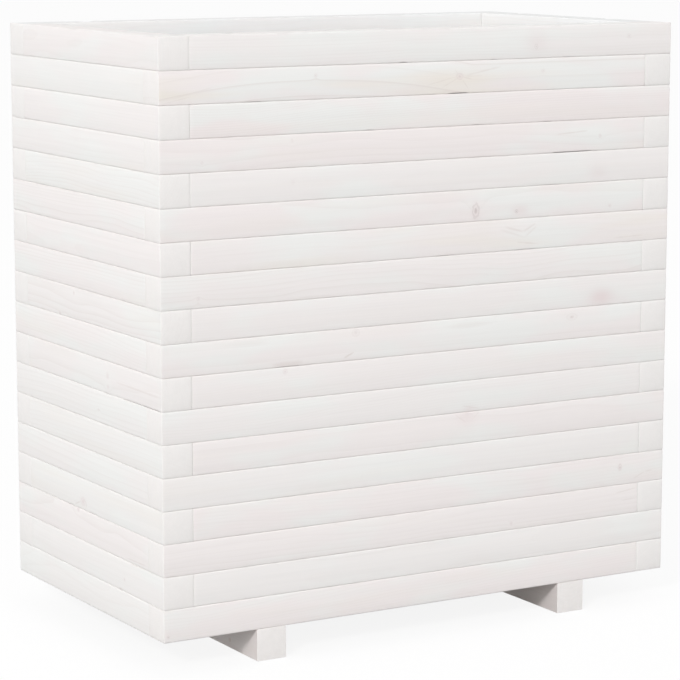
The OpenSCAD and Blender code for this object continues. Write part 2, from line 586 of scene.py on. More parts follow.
@dataclass(frozen=True)
class PineFinish:
    """Pine under a coat: its colours, and how strongly each pattern shows.

    A span leads from where a noise or a distance shows nothing to where it shows in full.
    """

    name: str
    plain: Colour
    pink: Colour
    warm: Colour
    bare: Colour
    late_wood: Colour
    knot_core: Colour
    knot_halo: Colour
    sawn: Colour
    ring_strength: float = 0.5
    end_ring_share: float = 0.35
    fibre_strength: float = 0.05
    worn_strength: float = 0.3
    crown_up: float = 1.0 * MM
    crown_across: float = 0.5 * MM
    roughness: float = 0.62
    rough_vary: float = 0.16
    fibre_lumps: Lumps = (9.0, 620.0, 620.0)
    stroke_lumps: Lumps = (3.0, 130.0, 130.0)
    patch_lumps: Lumps = (7.0, 22.0, 22.0)
    patch_span: Span = (0.32, 0.56)
    cloud_lumps: Lumps = (4.3, 40.0, 40.0)
    cloud_span: Span = (0.48, 0.72)
    rub_lumps: Lumps = (38.0, 90.0, 90.0)
    rub_span: Span = (0.42, 0.7)
    rub_reach: Span = (2.2 * MM, 0.6 * MM)
    sway_lumps: Lumps = (5.0, 14.0, 14.0)
    most_bend: float = 23 * MM
    late_end: Span = (1.0, 0.95)
    year_vary: float = 0.9
    year_least: float = 0.35
    sawn_share: float = 0.9
    end_reach: Span = (0.6 * MM, 0.3 * MM)
    fibre_rise: float = 0.05 * MM
    late_rise: float = 0.06 * MM
    core_rise: float = 0.08 * MM

    def group(self) -> bpy.types.NodeTree:
        """Make the node group that draws this pine as a solid block of wood.

        Returns:
            The group.
        """
        sketch = GroupSketch(
            self.name,
            {"Vector": VECTOR, **floats("Start", "End"), "Section": VECTOR, "Pith": VECTOR,
             **floats(*GRAIN_INPUTS, "Core", "Halo", "Streak", "Push")},
            {"Color": COLOUR, **floats("Roughness", "Height")},
        )
        given = sketch.given
        own = sketch.vectors("ADD", given["Vector"], sketch.join(given["Seed"], 0.0, 0.0))
        fibre = sketch.noise(own, self.fibre_lumps, 3.0)
        stroke = sketch.noise(own, self.stroke_lumps)
        late = sketch.product(self._late_wood(sketch, own), given["Rings Show"], self.ring_strength)
        end = self._end_grain(sketch)
        late = sketch.product(late, sketch.ease(end, 0.0, 1.0, 1.0, self.end_ring_share))
        late = sketch.math("MAXIMUM", late, given["Streak"])
        sawn = sketch.product(end, self.sawn_share)
        colour = sketch.blend(sawn, self._coat(sketch, own), self.sawn)
        for share, over in ((late, self.late_wood), (given["Halo"], self.knot_halo),
                            (given["Core"], self.knot_core)):
            colour = sketch.blend(share, colour, over)
        lines = sketch.math("SUBTRACT", sketch.math("ADD", fibre, stroke), 1.0)
        shade = sketch.math("MULTIPLY_ADD", lines, self.fibre_strength, 1.0)
        colour = sketch.blend(1.0, colour, sketch.join(shade, shade, shade), "MULTIPLY")
        rough = sketch.math("MULTIPLY_ADD", stroke, self.rough_vary,
                            self.roughness - self.rough_vary / 2)
        relief = sketch.math("MULTIPLY", fibre, self.fibre_rise)
        for share, rise in ((late, self.late_rise), (given["Core"], self.core_rise)):
            relief = sketch.math("MULTIPLY_ADD", share, rise, relief)
        height = sketch.math("ADD", relief, self._crown(sketch))
        return sketch.give(Color=colour, Roughness=rough, Height=height)

    def _coat(self, sketch: GroupSketch, own: Socket) -> Socket:
        """Return the colour of the coat, uneven and rubbed thin along the arrises.

        Args:
            sketch: The group under construction.
            own: The place in the block, moved by its seed.

        Returns:
            The colour before rings and knots.
        """
        given = sketch.given
        patch = sketch.noise(own, self.patch_lumps)
        cloud = sketch.noise(own, self.cloud_lumps, 1.0)
        rub = sketch.noise(own, self.rub_lumps, 3.0)
        pinkness = sketch.product(sketch.ease(patch, *self.patch_span), given["Pinkness"])
        colour = sketch.blend(pinkness, self.plain, self.pink)
        warmth = sketch.product(sketch.ease(cloud, *self.cloud_span), given["Warmth"])
        colour = sketch.blend(warmth, colour, self.warm)
        inward = sketch.math("MAXIMUM", *(
            sketch.math("MINIMUM", place, sketch.math("SUBTRACT", size, place))
            for place, size in self._over_section(sketch)
        ))
        worn = sketch.product(sketch.ease(inward, *self.rub_reach),
                              sketch.ease(rub, *self.rub_span), self.worn_strength)
        return sketch.blend(worn, colour, self.bare)

    def _over_section(self, sketch: GroupSketch) -> tuple[tuple[Socket, Socket], ...]:
        """Return the place and the size across the section, and then those up it."""
        vectors = (sketch.split(sketch.given[name]) for name in ("Vector", "Section"))
        return tuple(zip(*vectors))[1:]

    def _end_grain(self, sketch: GroupSketch) -> Socket:
        """Return 1 on the sawn ends and 0 elsewhere.

        Args:
            sketch: The group under construction.

        Returns:
            The share of end grain.
        """
        given = sketch.given
        x, _, _ = sketch.split(given["Vector"])
        inward = sketch.math("MINIMUM", sketch.math("SUBTRACT", x, given["Start"]),
                             sketch.math("SUBTRACT", given["End"], x))
        return sketch.ease(inward, *self.end_reach)

    def _late_wood(self, sketch: GroupSketch, own: Socket) -> Socket:
        """Return where the dark late wood of each growth ring lies.

        Args:
            sketch: The group under construction.
            own: The place in the block, moved by its seed.

        Returns:
            0 in early wood to 1 in late wood.
        """
        given = sketch.given
        x, y, z = sketch.split(given["Vector"])
        _, pith_y, pith_z = sketch.split(given["Pith"])
        sway = sketch.noise(own, self.sway_lumps, 1.5, "Color")
        _, sway_y, sway_z = sketch.split(sketch.vectors("SUBTRACT", sway, (0.5, 0.5, 0.5)))
        off = sketch.math("SUBTRACT", x, given["Bow At"])
        bend = sketch.math("MINIMUM", sketch.product(off, off, given["Bow"]), self.most_bend)
        y = sketch.math("SUBTRACT", y, pith_y)
        y = sketch.math("MULTIPLY_ADD", sway_y, given["Wander"], y)
        z = sketch.math("ADD", sketch.math("SUBTRACT", z, pith_z), bend)
        z = sketch.math("MULTIPLY_ADD", sway_z, given["Wander"], z)
        radius = sketch.math("SUBTRACT", sketch.diagonal(y, z), given["Push"])
        count = sketch.math("DIVIDE", radius, given["Ring"])
        share = sketch.math("FRACT", count)
        year = sketch.math("ADD", sketch.math("FLOOR", count), given["Seed"])
        odds = sketch.add("ShaderNodeTexWhiteNoise", named={"W": year}, noise_dimensions="1D")
        late = sketch.math("POWER", share, given["Sharpness"])
        dark = sketch.product(late, sketch.ease(share, *self.late_end))
        strength = sketch.math("MULTIPLY_ADD", odds.outputs["Value"], self.year_vary,
                               self.year_least)
        return sketch.product(dark, strength)

    def _crown(self, sketch: GroupSketch) -> Number:
        """Return a height that makes each planed face read as very slightly round.

        Args:
            sketch: The group under construction.

        Returns:
            The height in metres, 0 in the middle of a face and less towards its edges.
        """
        fall: Number = 0.0
        for (place, size), crown in zip(self._over_section(sketch),
                                        (self.crown_across, self.crown_up)):
            off = sketch.math("MULTIPLY_ADD", sketch.math("DIVIDE", place, size), 2.0, -1.0)
            fall = sketch.math("MULTIPLY_ADD", sketch.math("POWER", off, 2.0), -crown, fall)
        return fall


WHITEWASHED_PINE = PineFinish(
    name="whitewashed_pine",
    plain=srgb(236, 236, 234),
    pink=srgb(238, 231, 230),
    warm=srgb(236, 230, 223),
    bare=srgb(217, 212, 211),
    late_wood=srgb(212, 202, 197),
    knot_core=srgb(188, 177, 175),
    knot_halo=srgb(228, 213, 213),
    sawn=srgb(237, 234, 232),
)
COOL_WASHED_PINE = replace(
    WHITEWASHED_PINE,
    name="cool_whitewashed_pine",
    plain=srgb(232, 234, 234),
    pink=srgb(234, 230, 230),
    warm=srgb(232, 229, 224),
    bare=srgb(214, 211, 209),
)
FOOT_PINE = PineFinish(
    name="foot_pine",
    plain=srgb(230, 224, 222),
    pink=srgb(229, 221, 218),
    warm=srgb(228, 220, 215),
    bare=srgb(216, 198, 182),
    late_wood=srgb(206, 192, 184),
    knot_core=srgb(180, 160, 150),
    knot_halo=srgb(222, 200, 190),
    sawn=srgb(237, 234, 232),
    fibre_strength=0.08,
    worn_strength=0.4,
    crown_up=0.6 * MM,
    crown_across=0.6 * MM,
)
THIN_WASHED_PINE = PineFinish(
    name="thinly_washed_pine",
    plain=srgb(226, 219, 208),
    pink=srgb(224, 213, 203),
    warm=srgb(220, 207, 188),
    bare=srgb(206, 180, 148),
    late_wood=srgb(192, 166, 138),
    knot_core=srgb(146, 112, 84),
    knot_halo=srgb(206, 176, 150),
    sawn=srgb(212, 194, 168),
    ring_strength=0.6,
    end_ring_share=0.7,
    fibre_strength=0.12,
    worn_strength=0.6,
    crown_up=0.4 * MM,
    crown_across=0.4 * MM,
)
PLAIN_BEECH = PineFinish(
    name="plain_beech",
    plain=srgb(214, 184, 148),
    pink=srgb(210, 176, 142),
    warm=srgb(204, 168, 128),
    bare=srgb(196, 158, 118),
    late_wood=srgb(180, 142, 104),
    knot_core=srgb(140, 104, 74),
    knot_halo=srgb(180, 140, 104),
    sawn=srgb(196, 158, 116),
    ring_strength=0.4,
    end_ring_share=1.0,
    fibre_strength=0.18,
    worn_strength=0.0,
    crown_up=0.0,
    crown_across=0.0,
)


@dataclass(frozen=True)
class Lay:
    """How a piece's block of wood lies in the planter.

    Its X runs along the grain, and its Y and Z over the section. The corner and the turn say where
    it lies, and the run where along it the piece starts and ends.
    """

    corner: Vector
    turn: tuple[float, float, float]
    run: Span
    section: Span


class Timber:
    """Makes one material for each piece of timber, all drawn by a few shared groups."""

    def __init__(self) -> None:
        """Make the shared groups."""
        self.knot, self.streak = KnotPattern().group(), StreakPattern().group()
        woods = (WHITEWASHED_PINE, COOL_WASHED_PINE, FOOT_PINE, THIN_WASHED_PINE, PLAIN_BEECH)
        self.woods = {wood.name: wood.group() for wood in woods}

    def material(self, name: str, wood: PineFinish, grain: Grain, lay: Lay) -> bpy.types.Material:
        """Make the material of one piece.

        Args:
            name: The piece's name.
            wood: Its finish.
            grain: How it was cut.
            lay: How it lies.

        Returns:
            The material.
        """
        material, sketch = new_material(f"{wood.name}.{name}")
        place = sketch.add("ShaderNodeTexCoord").outputs["Object"]
        block = sketch.add("ShaderNodeMapping", vector_type="TEXTURE", named={
            "Vector": place, "Location": lay.corner, "Rotation": lay.turn}).outputs[0]
        core, halo, push = self._knots(sketch, block, grain.knots)
        fields = {label: getattr(grain, label.lower().replace(" ", "_")) for label in GRAIN_INPUTS}
        shader = sketch.add("ShaderNodeGroup", node_tree=self.woods[wood.name], named={
            "Vector": block, "Start": lay.run[0], "End": lay.run[1],
            "Section": (0.0, *lay.section), "Pith": (0.0, *grain.pith), **fields,
            "Core": core, "Halo": halo, "Push": push,
            "Streak": self._streaks(sketch, block, grain.streaks),
        })
        sketch.surface(*(shader.outputs[label] for label in ("Color", "Roughness", "Height")))
        return material

    def _knots(self, sketch: NodeSketch, block: Socket,
               knots: tuple[Knot, ...]) -> tuple[Number, Number, Number]:
        """Add a piece's knots. The rings are pushed aside by those that have a core.

        Args:
            sketch: The material's tree.
            block: The place in the block.
            knots: The knots.

        Returns:
            How strong the cores and halos are, and how far the rings are pushed.
        """
        core: Number = 0.0
        halo: Number = 0.0
        push: Number = 0.0
        for knot in knots:
            spot = sketch.add("ShaderNodeGroup", node_tree=self.knot, named={
                "Vector": block, "Along": knot.along * MM, "Up": knot.up * MM,
                "Radius": knot.radius * MM, "Tall": knot.tall}).outputs
            core = sketch.math("MULTIPLY_ADD", spot["Core"], knot.core, core)
            halo = sketch.math("MULTIPLY_ADD", spot["Halo"], knot.halo, halo)
            if knot.core:
                push = sketch.math("ADD", spot["Push"], push)
        return core, halo, push

    def _streaks(self, sketch: NodeSketch, block: Socket, streaks: tuple[Streak, ...]) -> Number:
        """Add a piece's streaks.

        Args:
            sketch: The material's tree.
            block: The place in the block.
            streaks: The streaks.

        Returns:
            How strong the streaks are.
        """
        dark: Number = 0.0
        for streak in streaks:
            (x, z), (end_x, end_z) = streak.start, streak.end
            line = sketch.add("ShaderNodeGroup", node_tree=self.streak, named={
                "Vector": block, "Start": (x * MM, 0.0, z * MM),
                "Run": ((end_x - x) * MM, 0.0, (end_z - z) * MM), "Wide": streak.wide * MM})
            dark = sketch.math("MULTIPLY_ADD", line.outputs["Streak"], streak.strength, dark)
        return dark


@dataclass(frozen=True)
class MetalFinish:
    """A plated metal."""

    name: str
    colour: Colour
    roughness: float
    dull_lumps: Lumps = (900.0, 900.0, 900.0)
    stain_lumps: Lumps = (260.0, 260.0, 260.0)
    stain_vary: float = 0.3
    stain_least: float = 0.8
    rough_vary: float = 0.25
    rough_fall: float = 0.12
    rise: float = 0.03 * MM

    def material(self) -> bpy.types.Material:
        """Make the material.

        Returns:
            The material.
        """
        material, sketch = new_material(self.name)
        place = sketch.add("ShaderNodeTexCoord").outputs["Object"]
        dull = sketch.noise(place, self.dull_lumps, 3.0)
        stain = sketch.noise(place, self.stain_lumps)
        shade = sketch.math("MULTIPLY_ADD", stain, self.stain_vary, self.stain_least)
        tone = sketch.blend(1.0, self.colour, sketch.join(shade, shade, shade), "MULTIPLY")
        rough = sketch.math("MULTIPLY_ADD", dull, self.rough_vary, self.roughness - self.rough_fall)
        sketch.surface(tone, rough, sketch.math("MULTIPLY", dull, self.rise), metallic=1.0)
        return material


SCREW_STEEL = MetalFinish("screw_steel", srgb(186, 184, 176), 0.38)


def dress(piece: Piece, material: bpy.types.Material) -> None:
    """Give an object its one material.

    Args:
        piece: The object.
        material: The material.
    """
    piece.data.materials.clear()
    piece.data.materials.append(material)


# ---- Walls ----


@dataclass
class BarMaker:
    """Shapes a planed bar that runs along +X from the origin.

    The planer rounds its long edges, which the coat then fills, so that they are rounded twice as
    high as they are deep. Its sawn ends stay nearly sharp. Cuts hold the faces flat beside the
    roundings, and the bar is divided into sections along its length.
    """

    length: float
    side: float
    ease: float = 1.6 * MM
    flatness: float = 2.0
    sawn_ease: float = 0.4 * MM
    hold: float = 1.5 * MM
    section: float = 4.0 * MM

    def shape(self, name: str) -> Piece:
        """Shape the bar.

        Args:
            name: The object's name.

        Returns:
            The bar.
        """
        size = Vector((self.length, self.side * self.flatness, self.side))
        bpy.ops.object.select_all(action="DESELECT")
        bpy.ops.mesh.primitive_cube_add(size=1, location=size / 2, scale=size)
        bpy.ops.object.transform_apply(location=True, rotation=True, scale=True)
        piece = bpy.context.object
        piece.name = piece.data.name = name
        with EditSession(piece) as edit:
            edit.pick("EDGE", lambda a, b: abs(a.x - b.x) > TINY)
            bpy.ops.mesh.bevel(offset=self.ease, segments=4, affect="EDGES")
            bpy.ops.mesh.select_all(action="SELECT")
            bpy.ops.transform.resize(value=(1, 1 / self.flatness, 1), center_override=(0, 0, 0))
            edit.pick("EDGE", self._rounds_an_end)
            bpy.ops.mesh.bevel(offset=self.sawn_ease, segments=2, affect="EDGES")
            self._divide(edit)
        smooth(piece)
        return piece

    def _rounds_an_end(self, a: Vector, b: Vector) -> bool:
        """Return whether an edge lies round one of the sawn ends."""
        return max(a.x, b.x) < TINY or min(a.x, b.x) > self.length - TINY

    def _divide(self, edit: EditSession) -> None:
        """Divide the bar along its length, so that its edges can be worn.

        First a cut beside each rounded edge keeps the faces flat up to it.

        Args:
            edit: The bar in edit mode.
        """
        inset = self.ease + self.hold
        for axis, size in ((Y_AXIS, self.side), (Z_AXIS, self.side), (X_AXIS, self.length)):
            for far in (inset, size - inset):
                edit.cut(axis, far)
        cuts = round(self.length / self.section / 2)
        for number, least in ((cuts, self.length / 2), (1, self.section)):
            edit.pick("EDGE", lambda a, b, least=least: abs(a.x - b.x) > least)
            bpy.ops.mesh.subdivide(number_cuts=number)


class Arris(Enum):
    """A long edge of a bar that wood is missing from: whether it is outer, and whether upper."""

    LOWER_OUTER = (True, False)
    UPPER_OUTER = (True, True)
    UPPER_INNER = (False, True)


@dataclass(frozen=True)
class Wane:
    """A stretch of a bar's edge where wood is missing, so that a seam gapes or the rim is nicked.

    In millimetres, along the bar's wall from its low X or Y end.
    """

    start: float
    end: float
    gap: float = 0.8
    arris: Arris = Arris.LOWER_OUTER


@dataclass
class WallBar:
    """One bar of a wall.

    The edge is how far an arris reaches inward, and the tip how far it reaches up or down. The room
    is left at the butted end, and the waves are as long as the worn edges wander.
    """

    wall: Wall
    course: int
    size: PlanterSize
    edge: float = 3.5 * MM
    tip: float = 1.7 * MM
    falloff: float = 7 * MM
    room: Span = (0.08 * MM, 0.3 * MM)
    waves: Span = (30 * MM, 70 * MM)
    lower_wear: float = 0.08 * MM
    upper_wear: float = -0.04 * MM
    run: Span = field(init=False)

    def __post_init__(self) -> None:
        """Work out where the bar starts and ends along its wall."""
        odd = self.course % 2 == 1
        butts_first = odd == (self.wall in (Wall.FRONT, Wall.RIGHT))
        start = self.size.bar if butts_first else 0.0
        self.run = (start, start + self.size.wall_length(self.wall) - self.size.bar)

    @property
    def name(self) -> str:
        """The piece's name."""
        return f"{self.wall.value}_bar_{self.course:02d}"

    @property
    def node(self) -> str:
        """The CAD node that holds this bar and the one across from it."""
        return f"{'long' if self.wall.is_long else 'short'}_bars_{self.course:02d}"

    @property
    def outer_face(self) -> float:
        """The X or Y of the bar's outer face."""
        across = self.size.depth if self.wall.is_long else self.size.length
        return across / 2 if self.wall.is_high_side else -across / 2

    @property
    def to_wall(self) -> Matrix:
        """The turn and move from the wall's own place (along, across, up)."""
        size = self.size
        low = self.outer_face - (size.bar if self.wall.is_high_side else 0)
        floor = size.course_z(self.course)
        if self.wall.is_long:
            return Matrix.Translation((-size.length / 2, low, floor))
        turn = Matrix.Rotation(math.pi / 2, 4, "Z")
        return Matrix.Translation((low + size.bar, -size.depth / 2, floor)) @ turn

    def lay(self) -> Lay:
        """Return how the bar's grain lies, in a block that starts where the wall does."""
        place, turn = self.to_wall.to_translation(), tuple(self.to_wall.to_euler())
        return Lay(place, turn, self.run, (self.size.bar, self.size.bar))

    def build(self, master: Piece, wanes: tuple[Wane, ...], chance: random.Random) -> Piece:
        """Build the bar.

        Args:
            master: The bar to copy.
            wanes: Where its edges have wood missing.
            chance: The source of chance.

        Returns:
            The piece.
        """
        place = self.to_wall @ Matrix.Translation((self.run[0], 0, 0))
        piece = copy_of(master, self.name, place)
        with EditSession(piece) as edit:
            self._trim_butt(edit, chance)
            for wane in wanes:
                self._cut_wane(edit, wane)
        self._wear_edges(piece, chance)
        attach(piece, BODY)
        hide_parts(self.node)
        return piece

    def _place_in_wall(self, place: Vector) -> tuple[float, float, float]:
        """Return how far along, inward from the outer face and up a place is.

        Args:
            place: A place on the planter.

        Returns:
            The three distances in metres.
        """
        start = self.size.wall_length(self.wall) / 2
        along, across = (place.x, place.y) if self.wall.is_long else (place.y, place.x)
        inward = abs(across - self.outer_face)
        return along + start, inward, place.z - self.size.course_z(self.course)

    def _trim_butt(self, edit: EditSession, chance: random.Random) -> None:
        """Leave a hair of room where the bar butts against its neighbour.

        Args:
            edit: The bar in edit mode.
            chance: The source of chance.
        """
        room = chance.uniform(*self.room)
        first = self.run[0] > 0
        end = self.run[0] if first else self.run[1]
        edit.pick("VERT", lambda place: abs(self._place_in_wall(place)[0] - end) < MM)
        shift = self.to_wall.to_3x3() @ Vector((room if first else -room, 0, 0))
        bpy.ops.transform.translate(value=shift)

    def _cut_wane(self, edit: EditSession, wane: Wane) -> None:
        """Draw an edge in where wood is missing.

        Args:
            edit: The bar in edit mode.
            wane: The stretch.
        """
        _, upper = wane.arris.value
        if edit.pick("VERT", lambda place: self._is_on(wane, place)):
            bpy.ops.transform.translate(
                value=(0, 0, (-wane.gap if upper else wane.gap) * MM), use_proportional_edit=True,
                proportional_edit_falloff="SMOOTH", proportional_size=self.falloff,
            )

    def _is_on(self, wane: Wane, place: Vector) -> bool:
        """Return whether a vertex lies on a stretch of missing wood.

        Args:
            wane: The stretch.
            place: The vertex's place.

        Returns:
            Whether it does.
        """
        outer, upper = wane.arris.value
        along, inward, up = self._place_in_wall(place)
        beside = inward if outer else self.size.bar - inward
        below = self.size.bar - up if upper else up
        near = beside < self.edge and below < self.tip
        return near and wane.start * MM < along < wane.end * MM

    def _wear_edges(self, piece: Piece, chance: random.Random) -> None:
        """Let the long edges wander a little, so that the seams open and close.

        Args:
            piece: The bar.
            chance: The source of chance.
        """
        band, side = self.edge, self.size.bar
        texture = bpy.data.textures.new(piece.name, "CLOUDS")
        texture.noise_scale = chance.uniform(*self.waves)
        select_only(piece)
        for label, lowest, shift in (
            ("lower_edges", 0.0, self.lower_wear),
            ("upper_edges", side - band, self.upper_wear),
        ):
            group = piece.vertex_groups.new(name=label)
            points = []
            for vertex in piece.data.vertices:
                _, inward, up = self._place_in_wall(vertex.co)
                if lowest - TINY < up < lowest + band and min(inward, side - inward) < band:
                    points.append(vertex.index)
            group.add(points, 1.0, "REPLACE")
            modifier = piece.modifiers.new(label, "DISPLACE")
            modifier.texture = texture
            modifier.vertex_group = label
            modifier.direction = "Z"
            modifier.mid_level = 0.0
            modifier.strength = shift
            bpy.ops.object.modifier_apply(modifier=label)
        piece.vertex_groups.clear()
        bpy.data.textures.remove(texture)


# What the photograph shows on the front and the left wall, by course.
KNOTS = {
    Wall.FRONT: {
        1: (Knot(501, 14, 2.6, 1.2, 0.3), Knot(501, 18, 14.0, 0.9, 0.0, 0.3),
            Knot(637, 23, 2.8, 1.0, 0.2, 0.1)),
        2: (Knot(199, 27, 2.2, 1.0, 0.25, 0.2), Knot(393, 20, 4.6, 0.8, 0.22, 0.4),
            Knot(511, 23, 2.6, 0.8, 0.2, 0.15)),
        4: (Knot(168, 30, 2.0, 1.0, 0.12, 0.12), Knot(53, 11, 1.8, 1.0, 0.22, 0.15),
            Knot(596, 18, 2.2, 1.0, 0.35, 0.2)),
        5: (Knot(169, 22, 2.6, 1.0, 0.07, 0.1), Knot(594, 12, 12.0, 0.6, 0.0, 0.3)),
        6: (Knot(417, 13, 5.0, 1.8, 0.5, 0.35), Knot(475, 9, 2.4, 0.9, 0.7),
            Knot(480, 9, 11.0, 0.6, 0.0, 0.45), Knot(612, 8, 2.0, 1.0, 0.25, 0.2)),
        8: (Knot(47, 11, 2.0, 1.0, 0.25, 0.15),),
        9: (Knot(601, 11, 16.0, 0.6, 0.0, 0.7),),
        10: (Knot(558, 27, 2.6, 0.6, 0.5, 0.3), Knot(252, 33, 2.0, 1.0, 0.25, 0.15)),
        11: (Knot(158, 33, 2.8, 1.0, 0.2, 0.25),),
        12: (Knot(409, 2, 7.0, 0.8, 0.0, 0.3),),
        13: (Knot(407, 36, 2.6, 1.0, 0.15), Knot(406, 33, 12.0, 0.9, 0.0, 0.35)),
        15: (Knot(634, 22, 2.8, 1.5, 0.35, 0.4),),
        16: (Knot(472, 8, 2.0, 1.0, 0.25, 0.2),),
        18: (Knot(5, 7, 1.8, 1.0, 0.4, 0.2),),
    },
    Wall.LEFT: {
        9: (Knot(228, 31, 2.2, 1.0, 0.35, 0.25), Knot(268, 2, 2.2, 1.0, 0.35, 0.25)),
        11: (Knot(139, 21, 2.6, 1.0, 0.18, 0.2), Knot(138, 8, 3.0, 0.8, 0.15, 0.3)),
        12: (Knot(164, 15, 2.2, 0.7, 0.2, 0.2),),
        15: (Knot(211, 10, 6.2, 0.8, 0.12, 0.4),),
        16: (Knot(225, 36, 3.0, 0.8, 0.4, 0.3),),
        17: (Knot(101, 15, 1.9, 1.0, 0.35, 0.2),),
    },
}
STREAKS = {
    Wall.FRONT: {
        2: (Streak((388, 20), (348, 11), 0.25), Streak((390, 18), (369, 8), 0.25),
            Streak((398, 19), (411, 16), 0.3), Streak((400, 20), (425, 20), 0.25),
            Streak((397, 16), (406, 4), 0.25), Streak((391, 22), (386, 29), 0.25),
            Streak((402, 21), (452, 30), 0.3, 1.6), Streak((16, 7), (66, 18), 0.3, 1.4),
            Streak((5, 2), (40, 9), 0.25, 1.2)),
        4: (Streak((530, 22), (578, 25), 0.4, 1.5),),
        7: (Streak((459, 29), (485, 22), 0.35, 2.2), Streak((485, 22), (503, 31), 0.35, 2.2),
            Streak((452, 26), (487, 15), 0.22, 2.4), Streak((487, 15), (505, 28), 0.22, 2.4),
            Streak((476, 10), (508, 6), 0.3, 1.5), Streak((617, 6), (663, 7), 0.3, 1.5)),
        10: (Streak((236, 4), (250, 10), 0.5, 1.6), Streak((141, 3), (182, 4), 0.35, 4.5)),
        12: (Streak((400, 8), (424, 3), 0.3, 1.4),),
        13: (Streak((390, 36), (405, 26), 0.25, 1.4), Streak((424, 37), (413, 27), 0.25, 1.4)),
        15: (Streak((655, 6), (672, 13), 0.3, 1.4), Streak((672, 13), (684, 14), 0.3, 1.2)),
        16: (Streak((628, 28), (660, 32), 0.35, 1.4), Streak((637, 18), (660, 19), 0.25, 1.4)),
    },
    Wall.LEFT: {
        11: (Streak((118, 17), (3, 16), 0.35, 2.0),),
        15: (Streak((210, 13), (201, 10), 0.4, 1.2), Streak((201, 10), (204, 2), 0.4, 1.2),
             Streak((219, 9), (234, 3), 0.4, 1.2)),
        16: (Streak((96, 4), (44, 5), 0.4),),
        17: (Streak((86, 37), (46, 38), 0.5), Streak((104, 2), (115, 2), 0.5, 1.5)),
    },
}
WANES = {
    Wall.FRONT: {
        1: (Wane(312, 322, 0.6), Wane(438, 443, 0.5), Wane(544, 549, 0.4),
            Wane(101, 108, arris=Arris.UPPER_INNER), Wane(615, 622, arris=Arris.UPPER_INNER)),
        2: (Wane(110, 127, 0.35), Wane(380, 403, 0.8)),
        3: (Wane(265, 274, 0.4), Wane(414, 422, 0.5), Wane(511, 525, 0.5)),
        4: (Wane(528, 584, 0.75),),
        5: (Wane(19, 23, 0.5), Wane(31, 34, 0.5), Wane(520, 526, 0.4)),
        7: (Wane(366, 388, 0.4), Wane(478, 504, 0.35)),
        10: (Wane(145, 178, 0.4),),
    },
    Wall.BACK: {1: (Wane(96, 106, 0.9, Arris.UPPER_OUTER),)},
    Wall.LEFT: {
        1: (Wane(337, 343, arris=Arris.UPPER_INNER), Wane(140, 146, arris=Arris.UPPER_INNER)),
        11: (Wane(6, 90, 0.5), Wane(194, 200, 0.5)),
        15: (Wane(242, 248, 0.6), Wane(177, 193, 0.5)),
        17: (Wane(106, 113, 0.45),),
    },
    Wall.RIGHT: {
        1: (Wane(121, 131, 0.9, Arris.UPPER_OUTER), Wane(319, 329, 0.9, Arris.UPPER_OUTER)),
    },
}
PINKNESS = {Wall.FRONT: (0.4, 1.0), Wall.LEFT: (0.15, 0.8), Wall.BACK: (0.0, 0.5),
            Wall.RIGHT: (0.0, 0.5)}
CALM_BARS = {(Wall.FRONT, 10): 3 * MM}
WARM_BARS = {(Wall.FRONT, 7): 0.55}
ARCHED_BAR = (Wall.FRONT, 2)
ARCHED_GRAIN = Grain(
    pith=(19 * MM, -60 * MM), ring=17 * MM, bow=0.45, bow_at=183 * MM, rings_show=0.9, warmth=1.0,
    pinkness=0.9, seed=12.5, wander=4 * MM, sharpness=12.0, knots=KNOTS[Wall.FRONT][2],
    streaks=STREAKS[Wall.FRONT][2],
)
UNSEEN_KNOT = ((1.6, 3.4), (0.8, 1.3), (0.2, 0.55), (0.1, 0.5))  # radius, tall, core and halo
INNER_KNOT = ((1.8, 3.6), (0.8, 1.3), (0.3, 0.7), (0.2, 0.5))
INNER_ALONG, INNER_UP = (0.1, 0.9), (0.2, 0.8)  # where its knots are, as shares of a piece
INNER_PINKNESS = (0.3, 1.0)


